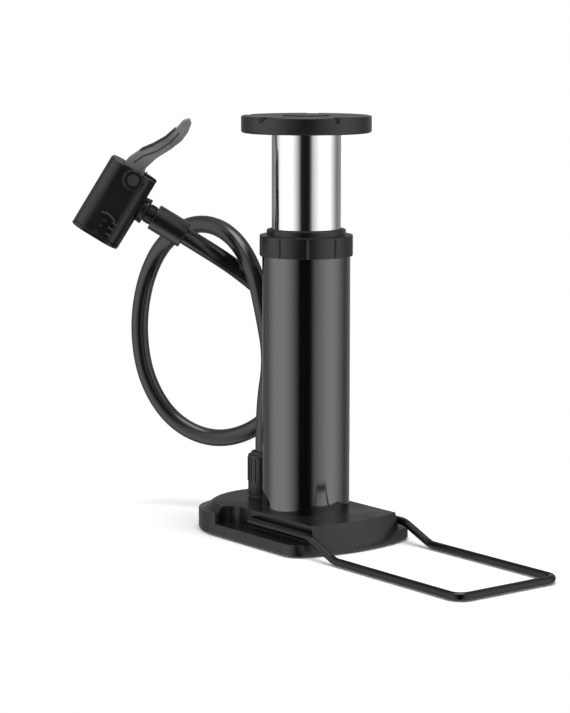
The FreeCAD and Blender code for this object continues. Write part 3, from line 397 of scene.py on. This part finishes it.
# ------------------------------------------------------------------ hose connector
# Moulded black nylon socket that screws into the deck and holds the hose's end, with
# flutes round it for the fingers.
moulding("hose_connector", "connector_body", "pump_base", black_nylon, 0.0004)
connector_low, connector_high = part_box("hose_connector")
CONNECTOR_MIDDLE = Vector(((connector_low[0] + connector_high[0]) / 2, 0.0, 0.0))
CONNECTOR_RADIUS = (connector_high[0] - connector_low[0]) / 2
FLUTE_COUNT, FLUTE_ROUNDING = 20, 0.0003
FLUTE_DEPTH, FLUTE_WIDTH, FLUTE_PROUD = 0.0014, 0.0011, 0.00035
FLUTE_LOW, FLUTE_HIGH = 0.0232, 0.0362
FLUTE_AT = (CONNECTOR_RADIUS + FLUTE_PROUD - FLUTE_DEPTH / 2, 0, (FLUTE_LOW + FLUTE_HIGH) / 2)


def new_piece(name, work, body, material):
    # Finishes a modelled mesh: outward faces, its material and its body.
    bmesh.ops.recalc_face_normals(work, faces=work.faces)
    mesh = bpy.data.meshes.new(name)
    work.to_mesh(mesh)
    work.free()
    mesh.materials.append(material)
    made = bpy.data.objects.new(name, mesh)
    bpy.context.scene.collection.objects.link(made)
    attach(made, body)
    return made


def rounded_bar(work, size, place, rounding):
    # Adds a bar of a size, with eased edges, carried from the origin to its place.
    bar = bmesh.ops.create_cube(work, size=1.0)["verts"]
    bmesh.ops.scale(work, vec=size, verts=bar)
    bmesh.ops.transform(work, matrix=place, verts=bar)
    edges = list({edge for corner in bar for edge in corner.link_edges})
    bmesh.ops.bevel(work, geom=edges, offset=rounding, offset_type="OFFSET", affect="EDGES",
                    segments=2, profile=0.5, material=-1)


flutes = bmesh.new()
for count in range(FLUTE_COUNT):
    spoke = Matrix.Rotation(2 * math.pi * count / FLUTE_COUNT, 4, "Z")
    rounded_bar(flutes, (FLUTE_DEPTH, FLUTE_WIDTH, FLUTE_HIGH - FLUTE_LOW),
                Matrix.Translation(CONNECTOR_MIDDLE) @ spoke @ Matrix.Translation(FLUTE_AT),
                FLUTE_ROUNDING)
new_piece("connector_flutes", flutes, "pump_base", black_nylon)

# ------------------------------------------------------------------ valve head
# Black nylon shell and screw cap with rounded edges. Three studs and a few raised marks
# are moulded on its near face, and the lever's pin crosses it.
moulding("head_shell", "head_moulding", "pump_base", black_nylon, 0.0007)
moulding("head_cap", "head_ring", "pump_base", black_nylon, 0.0005)
HEAD_PLACE, HEAD_TURN, HEAD_TILT = (-0.0874, -0.0712, 0.1536), 52.0, 31.5
HEAD_FRAME = (Matrix.Translation(HEAD_PLACE)
              @ Matrix.Rotation(math.radians(HEAD_TURN), 4, "Z")
              @ Matrix.Rotation(math.radians(HEAD_TILT), 4, "Y"))
HEAD_FACE = -0.0128
# Each row is the mark's place across and up the face; the arc's parts also have a tilt.
STUDS = [(0.0009, 0.0107), (0.0006, 0.0073), (0.0001, 0.0038)]
BARS = [(0.0062, 0.0117), (0.0056, 0.0086), (0.0060, 0.0052)]
ARC = [(-0.0012, 0.0142, -8), (0.0016, 0.0143, 8), (0.0042, 0.0135, 24)]
STUD_SIZE, STUD_ROUNDING = (0.0017, 0.0008, 0.0017), 0.00035
BAR_SIZE, ARC_SIZE, MARK_ROUNDING = (0.0030, 0.0009, 0.0009), (0.0034, 0.0008, 0.0010), 0.0003
BAR_SET_IN = 0.0001
studs = bmesh.new()
for across, up in STUDS:
    rounded_bar(studs, STUD_SIZE, HEAD_FRAME @ Matrix.Translation((across, HEAD_FACE, up)),
                STUD_ROUNDING)
new_piece("head_vent_studs", studs, "pump_base", black_nylon)
# The raised arc and bars get a lighter grey than the shell as a painted highlight; the lever's
# pin takes the same grey.
pin_grey_and_painted_highlight = finish("pin_grey_and_painted_highlight", (0.032, 0.032, 0.036), 0.32, grain=2200.0, patch=80.0)
dress(pin_grey_and_painted_highlight, "lever_pin")
marks = bmesh.new()
for across, up in BARS:
    rounded_bar(marks, BAR_SIZE,
                HEAD_FRAME @ Matrix.Translation((across, HEAD_FACE + BAR_SET_IN, up)),
                MARK_ROUNDING)
for across, up, tilt in ARC:
    rounded_bar(marks, ARC_SIZE,
                HEAD_FRAME @ Matrix.Translation((across, HEAD_FACE, up))
                @ Matrix.Rotation(math.radians(tilt), 4, "Y"), MARK_ROUNDING)
new_piece("head_grip_marks", marks, "pump_base", pin_grey_and_painted_highlight)

# ------------------------------------------------------------------ thumb lever
# Grey glass-filled nylon lever on a pin, with a black rubber strip let into its upper
# face. The strip's lower edge shows as a fine line along each side.
lever_grey = finish("lever_grey", (0.16, 0.16, 0.165), 0.36, grain=2200.0, patch=80.0,
                    worn=(0.24, 0.24, 0.24))
moulding("head_lever", "thumb_lever", "lever", lever_grey, 0.0007, 40.0)
STRIP_LINE = [(-0.0022, 0.0508), (0.0016, 0.0561), (0.0052, 0.0626), (0.0072, 0.0690)]
STRIP_THICK, STRIP_WIDTH, STRIP_LAP, STRIP_ROUNDING = 0.0014, 0.0126, 0.0006, 0.0003
EDGE_LINE = [(-0.0020, 0.0434), (0.0005, 0.0490), (0.0052, 0.0545), (0.0087, 0.0619),
             (0.0102, 0.0685)]
EDGE_THICK, EDGE_WIDTH, EDGE_LAP, EDGE_ROUNDING = 0.0006, 0.0005, 0.0003, 0.0001
LEVER_SIDE = 0.0061


def bars_along(work, line, side, thick, width, lap, rounding):
    # Lays lapping bars end to end along a line in the head's upright plane.
    for (x1, z1), (x2, z2) in zip(line, line[1:]):
        rounded_bar(work, (thick, width, math.hypot(x2 - x1, z2 - z1) + lap),
                    HEAD_FRAME @ Matrix.Translation(((x1 + x2) / 2, side, (z1 + z2) / 2))
                    @ Matrix.Rotation(math.atan2(x2 - x1, z2 - z1), 4, "Y"), rounding)


strip = bmesh.new()
bars_along(strip, STRIP_LINE, 0, STRIP_THICK, STRIP_WIDTH, STRIP_LAP, STRIP_ROUNDING)
new_piece("lever_grip_strip", strip, "lever", seal_rubber)
inlay_edge = bmesh.new()
for side in (-LEVER_SIDE, LEVER_SIDE):
    bars_along(inlay_edge, EDGE_LINE, side, EDGE_THICK, EDGE_WIDTH, EDGE_LAP, EDGE_ROUNDING)
new_piece("lever_inlay_edge", inlay_edge, "lever", seal_rubber)

# ------------------------------------------------------------------ hose end nut and sleeve
# A knurled nut clamps the hose in the head's neck. A soft rubber sleeve with a moulding
# seam along it covers the joint and keeps the hose from kinking.
moulding("hose_end_nut", "end_nut", "pump_base", black_nylon, 0.0003)
NECK_UP = 0.0242
NUT_ALONG, NUT_RADIUS, KNURL_COUNT = 0.0190, 0.0048, 18
KNURL_SIZE, KNURL_ROUNDING = (0.0034, 0.0007, 0.0006), 0.0002
knurl = bmesh.new()
for count in range(KNURL_COUNT):
    around = Matrix.Rotation(2 * math.pi * count / KNURL_COUNT, 4, "X")
    rounded_bar(knurl, KNURL_SIZE,
                HEAD_FRAME @ Matrix.Translation((NUT_ALONG, 0, NECK_UP)) @ around
                @ Matrix.Translation((0, 0, NUT_RADIUS)), KNURL_ROUNDING)
new_piece("end_nut_knurl", knurl, "pump_base", black_nylon)
sleeve = moulding("hose_sleeve", "strain_sleeve", "pump_base", hose_rubber,
                  0.0005)
SLEEVE_ALONG, SLEEVE_RADIUS, SEAM_ANGLES = 0.0306, 0.0070, (113, -67)
SEAM_SIZE, SEAM_ROUNDING = (0.0180, 0.0007, 0.0005), 0.0002
seam = bmesh.new()
for angle in SEAM_ANGLES:
    rounded_bar(seam, SEAM_SIZE,
                HEAD_FRAME @ Matrix.Translation((SLEEVE_ALONG, 0, NECK_UP))
                @ Matrix.Rotation(math.radians(angle), 4, "X")
                @ Matrix.Translation((0, 0, SLEEVE_RADIUS)), SEAM_ROUNDING)
sleeve_seam = new_piece("sleeve_seam", seam, "pump_base", seal_rubber)
